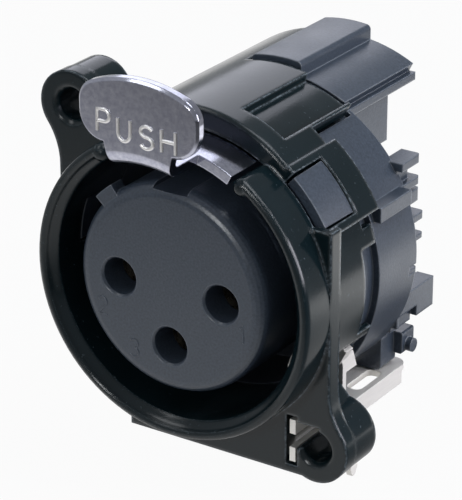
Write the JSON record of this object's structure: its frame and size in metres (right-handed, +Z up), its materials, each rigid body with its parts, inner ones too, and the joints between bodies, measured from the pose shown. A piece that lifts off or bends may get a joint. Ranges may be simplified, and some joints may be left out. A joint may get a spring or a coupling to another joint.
{
  "type": "xlr panel socket",
  "caption": "Round female audio panel socket with screw ears, a sprung push latch, a nose with pin holes and pins turned down to a circuit board.",
  "frame": {"origin": "on the plug axis, at the panel face of the two screw ears", "axes": "+X to the right seen from the front, +Y from the panel to the rear, +Z up towards the latch"},
  "size_m": [0.0244, 0.0262, 0.0309],
  "materials": {
    "shell_plastic": "satin gloss black moulding",
    "carrier_plastic": "matt dark grey moulding",
    "latch_steel": "bright nickel plating",
    "spring_steel": "drawn wire",
    "contact_plating": "tin plating on brass",
    "ground_plating": "bright tin plating"
  },
  "bodies": {
    "housing": {"front_shell": "shell_plastic", "contact_carrier": "carrier_plastic", "contact_1": "contact_plating", "contact_2": "contact_plating", "contact_3": "contact_plating", "ground_contact": "ground_plating", "latch_spring": "spring_steel"},
    "latch": {"latch": "latch_steel"}
  },
  "joints": [
    {"name": "latch_push", "type": "slide", "parent": "housing", "child": "latch", "axis": [0, 1, 0], "range_m": [0, 0.0015], "stiffness_N_per_m": 600, "springref_m": -0.004, "deforming": ["latch_spring"]}
  ]
}
